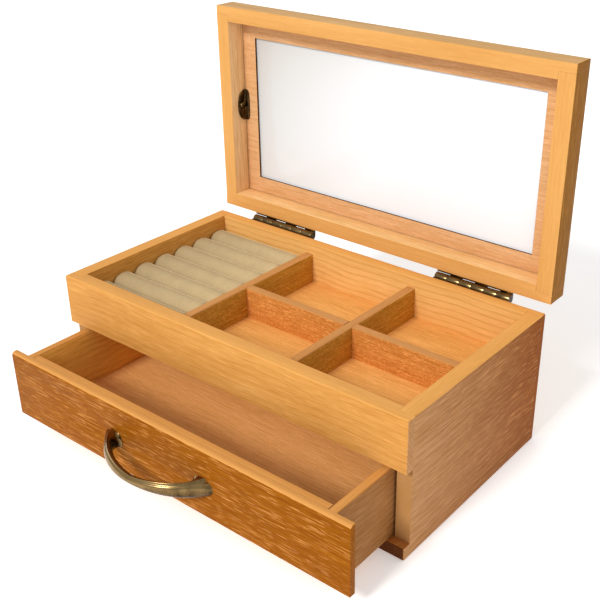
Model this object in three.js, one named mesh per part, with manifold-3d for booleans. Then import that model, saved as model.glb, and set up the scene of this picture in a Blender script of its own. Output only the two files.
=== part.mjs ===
// Wooden jewelry box: a case with a divided tray and a ring section, a drawer under the tray,
// and a lid with a mirror, hinged at the rear. Millimetres, +Z up, front towards -Y.
// The origin is the centre of the base's underside. The lid stands open and the drawer is pulled out.
import * as THREE from 'three';
import { mergeVertices } from 'three/addons/utils/BufferGeometryUtils.js';
import Module from 'manifold-3d';

const wasm = await Module();
wasm.setup();

// Case
const WIDTH = 300;
const DEPTH = 161.5;
const CASE_HEIGHT = 101;
const BASE_THICKNESS = 9.3;
const SIDE_THICKNESS = 10.9;
const RAIL_HEIGHT = 37;
const RAIL_THICKNESS = 11.3;
const RAIL_LIP = 6.1;
const BACK_THICKNESS = 9;
const BACK_LIP = 4.5;

// Tray inside the case
const TRAY_FLOOR_TOP = 69.2;
const TRAY_FLOOR_THICKNESS = 3;
const DIVIDER_TOP = 92.8;
const DIVIDER_THICKNESS = 6.8;
const DIVIDER_LEFT_X = -48.3;
const DIVIDER_RIGHT_X = 47.4;
const CROSS_Y = 0.2;
const LAP_GAP = 0.1;

// Ring section
const ROLL_COUNT = 7;
const ROLL_TOP = 91.8;
const ROLL_GAP = 0.35;
const PAD_BOARD_THICKNESS = 2.5;
const PAD_BOARD_GAP = 0.4;

// Drawer
const DRAWER_PULLED_OUT = 52.3;
const DRAWER_FRONT_WIDTH = 299.6;
const DRAWER_FRONT_THICKNESS = 4.5;
const DRAWER_FRONT_BOTTOM = 10.9;
const DRAWER_TOP = 61.1;
const DRAWER_EDGE_ROUNDING = 3;
const DRAWER_BOX_HALF_WIDTH = 137.2;
const DRAWER_SIDE_THICKNESS = 6.4;
const DRAWER_SIDE_LENGTH = 143;
const DRAWER_SIDE_BOTTOM = 9.5;
const DRAWER_INNER_THICKNESS = 4.7;
const DRAWER_FLOOR_TOP = 18.6;
const DRAWER_FLOOR_THICKNESS = 3;
const DRAWER_GROOVE = 2.4;
const DRAWER_BACK_TOP = 58;

// Bow pull, a little left of the drawer's middle
const PULL_X = -4.2;
const PULL_Z = 34.1;
const PULL_HALF_SPAN = 40;
const PULL_REACH = 22.4;
const PULL_SQUARENESS = 1.8;
const PULL_MIDDLE_HEIGHT = 5.2;
const PULL_FOOT_HEIGHT = 12.8;
const PULL_HEIGHT_FLARE = 0.5;
const PULL_MIDDLE_THICKNESS = 6.3;
const PULL_FOOT_THICKNESS = 19;
const PULL_THICKNESS_FLARE = 6;

// Lid
const LID_THICKNESS = 20.6;
const LID_RAIL_WIDTH = 11.4;
const LID_STILE_WIDTH = 11.9;
const LID_RAIL_LIP = 6.1;
const LID_EDGE_ROUNDING = 3.2;
const LID_RABBET = 3;
const SURROUND_FACE = 15.4;
const SURROUND_THICKNESS = 1.5;
const SURROUND_WIDTH = 12.6;
const MIRROR_THICKNESS = 1.7;
const STACK_GAP = 0.1;

// Hinges
const PIVOT_BEHIND_BACK = 4.8;
const PIVOT_BELOW_RIM = 0.8;
const LID_GAP = 0.2;
const HINGE_LENGTH = 61;
const HINGE_INSET = 31.2;
const HINGE_OFFSET = 2;
const HINGE_KNUCKLES = 6;
const KNUCKLE_GAP = 0.3;
const BARREL_RADIUS = 3.4;
const PIN_RADIUS = 1.25;
const BORE_RADIUS = 1.34;
const LEAF_THICKNESS = 1.2;
const LEAF_REACH = 17;
const LEAF_SCREW_SPACING = 21;

// Screws and mirror clips
const SCREW_HEAD_RADIUS = 2.6;
const SCREW_DOME = 0.25;
const SCREW_SHANK_RADIUS = 1.1;
const SCREW_GAP = 0.15;
const SCREW_IN_WOOD = 6.5;
const PULL_SCREW_HEAD_RADIUS = 3.4;
const PULL_SCREW_HEAD_HEIGHT = 2.2;
const CLIP_LENGTH = 24.8;
const CLIP_WALL_REACH = 8.8;
const CLIP_WALL_SQUARENESS = 2.3;
const CLIP_FACE_REACH = 4.6;
const CLIP_FACE_SQUARENESS = 4;
const CLIP_THICKNESS = 0.8;
const CLIP_FORWARD_OF_CENTRE = 2.5;
const CLIP_SCREW_FROM_FACE = 4.3;
const CLIP_SCREW_HEAD_RADIUS = 2.7;
const CLIP_SCREW_HEAD_HEIGHT = 1.7;
const CLIP_SCREW_LENGTH = 7.2;

// Places worked out from the sizes above
const HALF_WIDTH = WIDTH / 2;
const FRONT = -DEPTH / 2;
const BACK = DEPTH / 2;
const INNER_X = HALF_WIDTH - SIDE_THICKNESS;
const INNER_FRONT = FRONT + RAIL_THICKNESS;
const INNER_BACK = BACK - BACK_THICKNESS;
const RING_RIGHT = DIVIDER_LEFT_X - DIVIDER_THICKNESS / 2;
const DRAWER_FACE = FRONT - DRAWER_PULLED_OUT;
const DRAWER_FRONT_BACK = DRAWER_FACE + DRAWER_FRONT_THICKNESS;
const DRAWER_REAR = DRAWER_FRONT_BACK + DRAWER_SIDE_LENGTH;
const PIVOT_Y = BACK + PIVOT_BEHIND_BACK;
const PIVOT_Z = CASE_HEIGHT - PIVOT_BELOW_RIM;
const LID_RIM = PIVOT_BELOW_RIM + LID_GAP;
const LID_TOP = LID_RIM + LID_THICKNESS;
const LID_FRONT = FRONT - PIVOT_Y;
const LID_REAR = BACK - PIVOT_Y;
const HINGE_CENTRE_X = HALF_WIDTH - HINGE_INSET - HINGE_LENGTH / 2;
const HINGE_CENTRES = [HINGE_OFFSET - HINGE_CENTRE_X, HINGE_OFFSET + HINGE_CENTRE_X];
const CLIP_Y = (LID_FRONT + LID_REAR) / 2 - CLIP_FORWARD_OF_CENTRE;
const CLIP_FACE = LID_RIM + SURROUND_FACE - STACK_GAP;
const CLIP_SCREW_Z = CLIP_FACE - CLIP_SCREW_FROM_FACE;

const wood = (name, color) => new THREE.MeshStandardMaterial({ name, color, roughness: 0.5, metalness: 0 });
const brass = () => new THREE.MeshStandardMaterial({
  name: 'antique_brass', color: 0x6f5c38, roughness: 0.4, metalness: 1,
});
const steel = () => new THREE.MeshStandardMaterial({
  name: 'zinc_plated_steel', color: 0xb9b6ae, roughness: 0.35, metalness: 1,
});

function part(group, name, geometry, material) {
  const mesh = new THREE.Mesh(geometry, material);
  mesh.name = name;
  group.add(mesh);
}

function box(x0, x1, y0, y1, z0, z1) {
  const geometry = new THREE.BoxGeometry(x1 - x0, y1 - y0, z1 - z0);
  return geometry.translate((x0 + x1) / 2, (y0 + y1) / 2, (z0 + z1) / 2);
}

// A box from -half to +half across the width.
function crossBox(half, y0, y1, z0, z1) {
  return box(-half, half, y0, y1, z0, z1);
}

// A profile drawn in the YZ plane, run along X.
function runAlongX(shape, x0, x1, curveSegments = 6) {
  const geometry = new THREE.ExtrudeGeometry(shape, { depth: x1 - x0, bevelEnabled: false, curveSegments });
  const turn = new THREE.Matrix4().makeBasis(
    new THREE.Vector3(0, 1, 0), new THREE.Vector3(0, 0, 1), new THREE.Vector3(1, 0, 0),
  );
  return geometry.applyMatrix4(turn).translate(x0, 0, 0);
}

// A round bar along X.
function barAlongX(radius, x0, x1, y, z, segments = 24) {
  const geometry = new THREE.CylinderGeometry(radius, radius, x1 - x0, segments);
  return geometry.rotateZ(Math.PI / 2).translate((x0 + x1) / 2, y, z);
}

function solid(geometry) {
  const bare = geometry.clone();
  bare.deleteAttribute('normal');
  bare.deleteAttribute('uv');
  const merged = mergeVertices(bare, 1e-5);
  return new wasm.Manifold(new wasm.Mesh({
    numProp: 3,
    vertProperties: new Float32Array(merged.attributes.position.array),
    triVerts: new Uint32Array(merged.index.array),
  }));
}

function geometryOf(manifold) {
  const mesh = manifold.getMesh();
  const geometry = new THREE.BufferGeometry();
  geometry.setAttribute('position', new THREE.BufferAttribute(new Float32Array(mesh.vertProperties), 3));
  geometry.setIndex(new THREE.BufferAttribute(new Uint32Array(mesh.triVerts), 1));
  geometry.computeVertexNormals();
  return geometry;
}

function joined(first, ...others) {
  return geometryOf(others.reduce((body, other) => body.add(solid(other)), solid(first)));
}

function cut(first, ...others) {
  return geometryOf(others.reduce((body, other) => body.subtract(solid(other)), solid(first)));
}

// Case: the front rail and the back lap over the ends of the side panels in rabbets.
function buildCase(group) {
  const top = CASE_HEIGHT;
  const railBottom = CASE_HEIGHT - RAIL_HEIGHT;
  part(group, 'base_panel', crossBox(HALF_WIDTH, FRONT, BACK, 0, BASE_THICKNESS), wood('beech', 0xc98a4b));
  for (const [side, sign] of [['left', -1], ['right', 1]]) {
    const [x0, x1] = sign < 0 ? [-HALF_WIDTH, -INNER_X] : [INNER_X, HALF_WIDTH];
    const panel = box(x0, x1, FRONT + RAIL_LIP, BACK - BACK_LIP, BASE_THICKNESS, top);
    part(group, `side_panel_${side}`, panel, wood('beech', 0xbb7f47));
  }
  const railLip = crossBox(HALF_WIDTH, FRONT, FRONT + RAIL_LIP, railBottom, top);
  const railCore = crossBox(INNER_X, FRONT, INNER_FRONT, railBottom, top);
  part(group, 'front_rail', joined(railLip, railCore), wood('beech', 0xe2a55c));
  const backLip = crossBox(HALF_WIDTH, BACK - BACK_LIP, BACK, BASE_THICKNESS, top);
  const backCore = crossBox(INNER_X, INNER_BACK, BACK, BASE_THICKNESS, top);
  const screwHoles = HINGE_CENTRES.flatMap((x) => leafScrewHoles(-1, x));
  screwHoles.forEach((hole) => hole.translate(0, PIVOT_Y, PIVOT_Z));
  part(group, 'back_panel', cut(joined(backLip, backCore), ...screwHoles), wood('beech', 0xe0a562));
}

// Tray floor and three dividers. The right divider laps over the cross divider.
function buildTray(group) {
  const half = DIVIDER_THICKNESS / 2;
  const floorBottom = TRAY_FLOOR_TOP - TRAY_FLOOR_THICKNESS;
  const middle = (TRAY_FLOOR_TOP + DIVIDER_TOP) / 2;
  const floor = crossBox(INNER_X, INNER_FRONT, INNER_BACK, floorBottom, TRAY_FLOOR_TOP);
  part(group, 'tray_floor', floor, wood('beech_plywood', 0xe6b382));
  const left = box(DIVIDER_LEFT_X - half, DIVIDER_LEFT_X + half, INNER_FRONT, INNER_BACK,
    TRAY_FLOOR_TOP, DIVIDER_TOP);
  part(group, 'divider_left', left, wood('beech', 0xc47f43));
  const rightBlank = box(DIVIDER_RIGHT_X - half, DIVIDER_RIGHT_X + half, INNER_FRONT, INNER_BACK,
    TRAY_FLOOR_TOP, DIVIDER_TOP);
  const lowerSlot = box(DIVIDER_RIGHT_X - DIVIDER_THICKNESS, DIVIDER_RIGHT_X + DIVIDER_THICKNESS,
    CROSS_Y - half - LAP_GAP, CROSS_Y + half + LAP_GAP, 0, middle);
  part(group, 'divider_right', cut(rightBlank, lowerSlot), wood('beech', 0xc47f43));
  const crossBlank = box(DIVIDER_LEFT_X + half, INNER_X, CROSS_Y - half, CROSS_Y + half,
    TRAY_FLOOR_TOP, DIVIDER_TOP);
  const upperSlot = box(DIVIDER_RIGHT_X - half - LAP_GAP, DIVIDER_RIGHT_X + half + LAP_GAP,
    CROSS_Y - DIVIDER_THICKNESS, CROSS_Y + DIVIDER_THICKNESS, middle - LAP_GAP, CASE_HEIGHT);
  part(group, 'divider_cross', cut(crossBlank, upperSlot), wood('beech', 0xb5651f));
}

// Ring section: a loose board that carries a row of padded rolls, which grip rings between them.
function buildRingSection(group) {
  const x0 = -INNER_X + PAD_BOARD_GAP;
  const x1 = RING_RIGHT - PAD_BOARD_GAP;
  const boardTop = TRAY_FLOOR_TOP + PAD_BOARD_THICKNESS;
  const y0 = INNER_FRONT + PAD_BOARD_GAP;
  const y1 = INNER_BACK - PAD_BOARD_GAP;
  const board = box(x0, x1, y0, y1, TRAY_FLOOR_TOP, boardTop);
  part(group, 'ring_pad_board', board, wood('fibreboard', 0x8a7458));
  const velvet = () => new THREE.MeshStandardMaterial({ name: 'velvet', color: 0xb3a685, roughness: 0.95 });
  const pitch = (INNER_BACK - INNER_FRONT) / ROLL_COUNT;
  const radius = (pitch - ROLL_GAP) / 2;
  for (let i = 0; i < ROLL_COUNT; i += 1) {
    const y = INNER_FRONT + pitch * (i + 0.5);
    const profile = new THREE.Shape();
    profile.moveTo(y - radius, boardTop + ROLL_GAP);
    profile.lineTo(y + radius, boardTop + ROLL_GAP);
    profile.absarc(y, ROLL_TOP - radius, radius, 0, Math.PI, false);
    part(group, `ring_roll_${i + 1}`, runAlongX(profile, x0 + ROLL_GAP, x1 - ROLL_GAP, 12), velvet());
  }
}

// The drawer front's profile, with its upper front edge rounded over.
function drawerFrontProfile() {
  const r = DRAWER_EDGE_ROUNDING;
  const profile = new THREE.Shape();
  profile.moveTo(DRAWER_FACE, DRAWER_FRONT_BOTTOM);
  profile.lineTo(DRAWER_FRONT_BACK, DRAWER_FRONT_BOTTOM);
  profile.lineTo(DRAWER_FRONT_BACK, DRAWER_TOP);
  profile.lineTo(DRAWER_FACE + r, DRAWER_TOP);
  profile.absarc(DRAWER_FACE + r, DRAWER_TOP - r, r, Math.PI / 2, Math.PI, false);
  return profile;
}

// A bow pull: a bar that arches out from the drawer front and flares into an oval foot at each end.
// Seen from above, its centre line is a superellipse.
function bowPull() {
  const steps = 32;
  const ring = 20;
  const power = 2 / PULL_SQUARENESS;
  const points = [];
  for (let i = 0; i <= steps; i += 1) {
    const t = Math.PI * (1 - i / steps);
    const along = Math.sign(Math.cos(t)) * Math.abs(Math.cos(t)) ** power;
    const away = Math.abs(Math.sin(t)) ** power;
    const normalX = Math.sign(along) * Math.abs(along) ** (PULL_SQUARENESS - 1) / PULL_HALF_SPAN;
    const normalY = away ** (PULL_SQUARENESS - 1) / PULL_REACH;
    const length = Math.hypot(normalX, normalY);
    const taller = (1 - away) ** PULL_HEIGHT_FLARE;
    const height = PULL_MIDDLE_HEIGHT + (PULL_FOOT_HEIGHT - PULL_MIDDLE_HEIGHT) * taller;
    const thicker = (1 - away) ** PULL_THICKNESS_FLARE;
    const thickness = PULL_MIDDLE_THICKNESS + (PULL_FOOT_THICKNESS - PULL_MIDDLE_THICKNESS) * thicker;
    for (let j = 0; j < ring; j += 1) {
      const angle = (2 * Math.PI * j) / ring;
      const out = (thickness / 2) * Math.cos(angle);
      points.push(
        PULL_X + PULL_HALF_SPAN * along + (out * normalX) / length,
        DRAWER_FACE - PULL_REACH * away - (out * normalY) / length,
        PULL_Z + (height / 2) * Math.sin(angle),
      );
    }
  }
  const index = [];
  for (let i = 0; i < steps; i += 1) {
    for (let j = 0; j < ring; j += 1) {
      const a = i * ring + j;
      const b = i * ring + ((j + 1) % ring);
      index.push(a, a + ring, b, b, a + ring, b + ring);
    }
  }
  for (let j = 1; j < ring - 1; j += 1) {
    index.push(0, j, j + 1);
    index.push(steps * ring, steps * ring + j + 1, steps * ring + j);
  }
  const geometry = new THREE.BufferGeometry();
  geometry.setAttribute('position', new THREE.Float32BufferAttribute(points, 3));
  geometry.setIndex(index);
  geometry.computeVertexNormals();
  return geometry;
}

// A round-head screw along Y: its head's underside is at y, the head is behind it and the shank in front.
function screwAlongY(x, y, z, headRadius, headHeight, shankRadius, shankLength) {
  const profile = [
    new THREE.Vector2(0, -shankLength),
    new THREE.Vector2(shankRadius, -shankLength),
    new THREE.Vector2(shankRadius, 0),
    new THREE.Vector2(headRadius, 0),
    new THREE.Vector2(headRadius, headHeight * 0.35),
    new THREE.Vector2(headRadius * 0.75, headHeight * 0.8),
    new THREE.Vector2(0, headHeight),
  ];
  return new THREE.LatheGeometry(profile, 16).translate(x, y, z);
}

// A hole along Y at each end of the pull.
function pullHoles(radius, length, y) {
  return [-1, 1].map((sign) => {
    const hole = new THREE.CylinderGeometry(radius, radius, length, 20);
    return hole.translate(PULL_X + sign * PULL_HALF_SPAN, y, PULL_Z);
  });
}

function buildDrawer(group) {
  const inner = DRAWER_BOX_HALF_WIDTH - DRAWER_SIDE_THICKNESS;
  const innerBack = DRAWER_FRONT_BACK + DRAWER_INNER_THICKNESS;
  const backFront = DRAWER_REAR - DRAWER_SIDE_THICKNESS;
  const floorBottom = DRAWER_FLOOR_TOP - DRAWER_FLOOR_THICKNESS;
  const throughHoles = pullHoles(SCREW_SHANK_RADIUS + 0.3, 30, DRAWER_FRONT_BACK);
  const front = runAlongX(drawerFrontProfile(), -DRAWER_FRONT_WIDTH / 2, DRAWER_FRONT_WIDTH / 2);
  part(group, 'drawer_front', cut(front, ...throughHoles), wood('beech', 0xb8742f));
  const innerFront = crossBox(inner, DRAWER_FRONT_BACK, innerBack, DRAWER_SIDE_BOTTOM, DRAWER_TOP);
  const floorGroove = crossBox(HALF_WIDTH, innerBack - DRAWER_GROOVE, innerBack + 1,
    floorBottom - STACK_GAP, DRAWER_FLOOR_TOP + STACK_GAP);
  part(group, 'drawer_inner_front', cut(innerFront, floorGroove, ...throughHoles), wood('beech', 0xe2a552));
  for (const [side, sign] of [['left', -1], ['right', 1]]) {
    const ends = [sign * inner, sign * DRAWER_BOX_HALF_WIDTH].sort((a, b) => a - b);
    const blank = box(ends[0], ends[1], DRAWER_FRONT_BACK, DRAWER_REAR, DRAWER_SIDE_BOTTOM, DRAWER_TOP);
    const groove = crossBox(inner + DRAWER_GROOVE, DRAWER_FRONT_BACK - 1, DRAWER_REAR + 1,
      floorBottom - STACK_GAP, DRAWER_FLOOR_TOP + STACK_GAP);
    part(group, `drawer_side_${side}`, cut(blank, groove), wood('beech', 0xb87f45));
  }
  const drawerBack = crossBox(inner, backFront, DRAWER_REAR, DRAWER_FLOOR_TOP + STACK_GAP, DRAWER_BACK_TOP);
  part(group, 'drawer_back', drawerBack, wood('beech', 0xb87f45));
  const inGroove = DRAWER_GROOVE - STACK_GAP;
  const bottom = crossBox(inner + inGroove, innerBack - inGroove, DRAWER_REAR, floorBottom, DRAWER_FLOOR_TOP);
  part(group, 'drawer_bottom', bottom, wood('beech_plywood', 0xdba679));
  const tapped = pullHoles(SCREW_SHANK_RADIUS + SCREW_GAP, 9, DRAWER_FACE);
  part(group, 'drawer_pull', cut(bowPull(), ...tapped), brass());
  for (const [side, sign] of [['left', -1], ['right', 1]]) {
    const screw = screwAlongY(PULL_X + sign * PULL_HALF_SPAN, innerBack + SCREW_GAP, PULL_Z,
      PULL_SCREW_HEAD_RADIUS, PULL_SCREW_HEAD_HEIGHT, SCREW_SHANK_RADIUS, innerBack - DRAWER_FACE + 3.6);
    part(group, `pull_screw_${side}`, screw, steel());
  }
}

// A lid member's profile across its width: outer edge rounded over, inner edge rabbeted for the mirror.
// The outer face is at u = 0 and the rim at v = LID_RIM.
function lidMemberProfile(width) {
  const r = LID_EDGE_ROUNDING;
  const ledge = LID_RIM + SURROUND_FACE + SURROUND_THICKNESS + STACK_GAP;
  const profile = new THREE.Shape();
  profile.moveTo(0, LID_RIM);
  profile.lineTo(width, LID_RIM);
  profile.lineTo(width, ledge);
  profile.lineTo(width - LID_RABBET, ledge);
  profile.lineTo(width - LID_RABBET, LID_TOP);
  profile.lineTo(r, LID_TOP);
  profile.absarc(r, LID_TOP - r, r, Math.PI / 2, Math.PI, false);
  return profile;
}

// A block that is rounded like the stiles along its two upper end edges.
// It trims the rails to the lid's ends.
function lidEnds() {
  const r = LID_EDGE_ROUNDING;
  const profile = new THREE.Shape();
  profile.moveTo(-HALF_WIDTH, LID_RIM - r);
  profile.lineTo(HALF_WIDTH, LID_RIM - r);
  profile.lineTo(HALF_WIDTH, LID_TOP - r);
  profile.absarc(HALF_WIDTH - r, LID_TOP - r, r, 0, Math.PI / 2, false);
  profile.lineTo(r - HALF_WIDTH, LID_TOP);
  profile.absarc(r - HALF_WIDTH, LID_TOP - r, r, Math.PI / 2, Math.PI, false);
  return runAlongX(profile, -DEPTH, DEPTH).rotateZ(Math.PI / 2);
}

// Lid, modelled shut about its pivot, then turned back a quarter turn by its group.
// The rails lap over the ends of the stiles, as the case's front rail laps over its sides.
function buildLid(group) {
  const innerX = HALF_WIDTH - LID_STILE_WIDTH;
  const railBlank = runAlongX(lidMemberProfile(LID_RAIL_WIDTH), -HALF_WIDTH, HALF_WIDTH);
  const beyond = 40;
  const cheeks = [-1, 1].map((sign) => {
    const ends = [sign * innerX, sign * (HALF_WIDTH + beyond)].sort((a, b) => a - b);
    return box(ends[0], ends[1], LID_RAIL_LIP, LID_RAIL_WIDTH + beyond, LID_RIM - beyond, LID_TOP + beyond);
  });
  const rail = geometryOf(solid(cut(railBlank, ...cheeks)).intersect(solid(lidEnds())));
  const golden = () => wood('beech', 0xeeb468);
  part(group, 'lid_rail_front', rail.clone().translate(0, LID_FRONT, 0), golden());
  const rearRail = rail.clone().rotateZ(Math.PI).translate(0, LID_REAR, 0);
  const screwHoles = HINGE_CENTRES.flatMap((x) => leafScrewHoles(1, x));
  part(group, 'lid_rail_rear', cut(rearRail, ...screwHoles), golden());
  const stileHalf = DEPTH / 2 - LID_RAIL_LIP - STACK_GAP;
  const stile = runAlongX(lidMemberProfile(LID_STILE_WIDTH - STACK_GAP), -stileHalf, stileHalf);
  const middleY = (LID_FRONT + LID_REAR) / 2;
  for (const [side, sign] of [['left', -1], ['right', 1]]) {
    const placed = stile.clone().rotateZ((sign * Math.PI) / 2).translate(sign * HALF_WIDTH, middleY, 0);
    const pilot = barAlongX(SCREW_SHANK_RADIUS + SCREW_GAP, 0, CLIP_SCREW_LENGTH, 0, 0, 16);
    pilot.translate(sign > 0 ? innerX - 0.5 : 0.5 - innerX - CLIP_SCREW_LENGTH, CLIP_Y, CLIP_SCREW_Z);
    part(group, `lid_stile_${side}`, cut(placed, pilot), golden());
  }

  const surroundX = innerX - STACK_GAP * 3;
  const surroundY = DEPTH / 2 - LID_RAIL_WIDTH - STACK_GAP * 3;
  const surroundBottom = LID_RIM + SURROUND_FACE;
  const mirrorBottom = surroundBottom + SURROUND_THICKNESS + STACK_GAP * 2;
  const panelBottom = mirrorBottom + MIRROR_THICKNESS + STACK_GAP;
  const surround = cut(
    crossBox(surroundX, middleY - surroundY, middleY + surroundY, surroundBottom,
      surroundBottom + SURROUND_THICKNESS),
    crossBox(surroundX - SURROUND_WIDTH, middleY - surroundY + SURROUND_WIDTH,
      middleY + surroundY - SURROUND_WIDTH, surroundBottom - 1, mirrorBottom),
  );
  part(group, 'mirror_surround', surround, wood('beech', 0xe9b48a));
  const seatX = innerX + LID_RABBET - STACK_GAP * 2;
  const seatY = DEPTH / 2 - LID_RAIL_WIDTH + LID_RABBET - STACK_GAP * 2;
  const mirror = crossBox(seatX, middleY - seatY, middleY + seatY, mirrorBottom,
    mirrorBottom + MIRROR_THICKNESS);
  part(group, 'mirror', mirror, new THREE.MeshStandardMaterial({
    name: 'silvered_glass', color: 0xe9ebe9, roughness: 0.05, metalness: 1,
  }));
  const panel = crossBox(seatX, middleY - seatY, middleY + seatY, panelBottom, LID_TOP);
  part(group, 'lid_top_panel', panel, wood('beech_plywood', 0xdca566));
  buildMirrorClips(group, innerX);
}

// Half an oval below the first axis, squarer with a larger squareness.
function halfOval(half, reach, squareness) {
  const steps = 20;
  const points = [];
  for (let i = 0; i <= steps; i += 1) {
    const angle = (Math.PI * i) / steps;
    const across = Math.cos(angle);
    const along = Math.sign(across) * Math.abs(across) ** (2 / squareness);
    points.push(new THREE.Vector2(half * along, -reach * Math.abs(Math.sin(angle)) ** (2 / squareness)));
  }
  return new THREE.Shape(points);
}

// An L-shaped clip on each end wall holds the surround in, with one round-head screw.
// Both of its legs have rounded corners.
function buildMirrorClips(group, innerX) {
  const half = CLIP_LENGTH / 2;
  const t = CLIP_THICKNESS;
  const wallOutline = halfOval(half, CLIP_WALL_REACH, CLIP_WALL_SQUARENESS);
  const footOutline = halfOval(half, CLIP_FACE_REACH, CLIP_FACE_SQUARENESS);
  const hole = SCREW_SHANK_RADIUS + SCREW_GAP;
  for (const [side, sign] of [['left', -1], ['right', 1]]) {
    const wall = sign * (innerX - STACK_GAP);
    const [x0, x1] = [wall, wall - sign * t].sort((a, b) => a - b);
    const upright = runAlongX(wallOutline, x0, x1).translate(0, CLIP_Y, CLIP_FACE);
    const foot = new THREE.ExtrudeGeometry(footOutline, { depth: t, bevelEnabled: false });
    foot.rotateZ((-sign * Math.PI) / 2).translate(wall, CLIP_Y, CLIP_FACE - t);
    const bore = barAlongX(hole, wall - 3, wall + 3, CLIP_Y, CLIP_SCREW_Z, 16);
    part(group, `mirror_clip_${side}`, cut(joined(upright, foot), bore), brass());
    const screw = screwAlongY(0, 0, 0, CLIP_SCREW_HEAD_RADIUS, CLIP_SCREW_HEAD_HEIGHT, SCREW_SHANK_RADIUS,
      CLIP_SCREW_LENGTH);
    screw.rotateZ((sign * Math.PI) / 2).translate(wall - sign * (t + SCREW_GAP / 2), CLIP_Y, CLIP_SCREW_Z);
    part(group, `clip_screw_${side}`, screw, brass());
  }
}

// One leaf of a hinge about the pivot at (0, 0), as a plate on the rear face with alternate knuckles.
// rise is -1 for the case's leaf, which hangs below the pivot, and 1 for the lid's, which stands above it.
function hingeLeaf(rise, firstKnuckle) {
  const plateFront = -PIVOT_BEHIND_BACK;
  const webNear = rise * (BARREL_RADIUS - LEAF_THICKNESS);
  const webFar = rise * BARREL_RADIUS;
  const [webLow, webHigh] = [webNear, webFar].sort((a, b) => a - b);
  const plateNear = rise < 0 ? PIVOT_BELOW_RIM : LID_RIM;
  const [plateLow, plateHigh] = [plateNear, rise * LEAF_REACH].sort((a, b) => a - b);
  const half = HINGE_LENGTH / 2;
  const pitch = HINGE_LENGTH / HINGE_KNUCKLES;
  let leaf = solid(crossBox(half, plateFront, plateFront + LEAF_THICKNESS, plateLow, plateHigh));
  for (let i = firstKnuckle; i < HINGE_KNUCKLES; i += 2) {
    const x0 = -half + pitch * i + KNUCKLE_GAP / 2;
    const x1 = x0 + pitch - KNUCKLE_GAP;
    leaf = leaf.add(solid(barAlongX(BARREL_RADIUS, x0, x1, 0, 0)));
    leaf = leaf.add(solid(box(x0, x1, plateFront, 0, webLow, webHigh)));
  }
  leaf = leaf.subtract(solid(barAlongX(BORE_RADIUS, -half - 1, half + 1, 0, 0)));
  return leaf;
}

// The three screws of a leaf, as [x, z] about the middle of the pivot.
function leafScrewPlaces(rise) {
  const z = rise * (LEAF_REACH + BARREL_RADIUS) * 0.52;
  return [-1, 0, 1].map((i) => [i * LEAF_SCREW_SPACING, z]);
}

// A countersunk screw along Y, its head flush with the leaf's outer face.
// With a gap it is the hole it sits in.
function countersunk(x, z, gap) {
  const r = SCREW_SHANK_RADIUS + gap;
  const end = LEAF_THICKNESS + SCREW_IN_WOOD + gap * 2;
  const profile = [
    new THREE.Vector2(0, -end),
    new THREE.Vector2(r, -end),
    new THREE.Vector2(r, -LEAF_THICKNESS + 0.2 - gap),
    new THREE.Vector2(SCREW_HEAD_RADIUS + gap - 0.4, gap > 0 ? 0.01 : 0),
    new THREE.Vector2(0, gap > 0 ? 0.01 : SCREW_DOME),
  ];
  return new THREE.LatheGeometry(profile, 16).translate(x, LEAF_THICKNESS - PIVOT_BEHIND_BACK, z);
}

// The holes for one leaf's screws, about the pivot at (0, 0), for the hinge centred at x.
function leafScrewHoles(rise, x) {
  return leafScrewPlaces(rise).map(([hx, hz]) => countersunk(x + hx, hz, SCREW_GAP));
}

function buildHinge(fixed, moving, side, x) {
  const stopWidth = HINGE_LENGTH / HINGE_KNUCKLES;
  const underPivot = -BARREL_RADIUS;
  const tongueBack = BARREL_RADIUS + 2.2;
  // The stop: a tongue on the case's leaf, which a lug on the lid's leaf meets when the lid is upright.
  const tongue = box(-stopWidth, 0, 0, tongueBack, underPivot, underPivot + LEAF_THICKNESS);
  const lidKnuckleRoom = box(-stopWidth * 0.02 - 0.3, stopWidth, -4, BARREL_RADIUS + 0.2, -4, 4);
  const tongueTip = box(-0.5, stopWidth - 1, BARREL_RADIUS + 0.2, tongueBack, underPivot,
    underPivot + LEAF_THICKNESS);
  let caseLeaf = hingeLeaf(-1, 0);
  caseLeaf = caseLeaf.add(solid(tongue).subtract(solid(lidKnuckleRoom)));
  caseLeaf = caseLeaf.add(solid(tongueTip));
  leafScrewHoles(-1, 0).forEach((hole) => { caseLeaf = caseLeaf.subtract(solid(hole)); });
  caseLeaf = caseLeaf.subtract(solid(barAlongX(BORE_RADIUS, -HINGE_LENGTH, HINGE_LENGTH, 0, 0)));
  part(fixed, `hinge_${side}_case_leaf`, geometryOf(caseLeaf).translate(x, PIVOT_Y, PIVOT_Z), brass());

  // The lug, drawn with the lid shut: it points up past the barrel and swings back as the lid opens.
  const lug = box(0.6, stopWidth - 1.2, -1.5, 1.7, BARREL_RADIUS - LEAF_THICKNESS, tongueBack - 0.3);
  let lidLeaf = hingeLeaf(1, 1).add(solid(lug));
  lidLeaf = lidLeaf.subtract(solid(barAlongX(BORE_RADIUS, -HINGE_LENGTH, HINGE_LENGTH, 0, 0)));
  leafScrewHoles(1, 0).forEach((hole) => { lidLeaf = lidLeaf.subtract(solid(hole)); });
  part(moving, `hinge_${side}_lid_leaf`, geometryOf(lidLeaf).translate(x, 0, 0), brass());

  const half = HINGE_LENGTH / 2;
  part(fixed, `hinge_${side}_pin`, barAlongX(PIN_RADIUS, x - half, x + half, PIVOT_Y, PIVOT_Z), brass());
  leafScrewPlaces(-1).forEach(([hx, hz], i) => {
    const screw = countersunk(hx, hz, 0).translate(x, PIVOT_Y, PIVOT_Z);
    part(fixed, `hinge_${side}_case_screw_${i + 1}`, screw, brass());
  });
  leafScrewPlaces(1).forEach(([hx, hz], i) => {
    part(moving, `hinge_${side}_lid_screw_${i + 1}`, countersunk(hx, hz, 0).translate(x, 0, 0), brass());
  });
}

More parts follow.
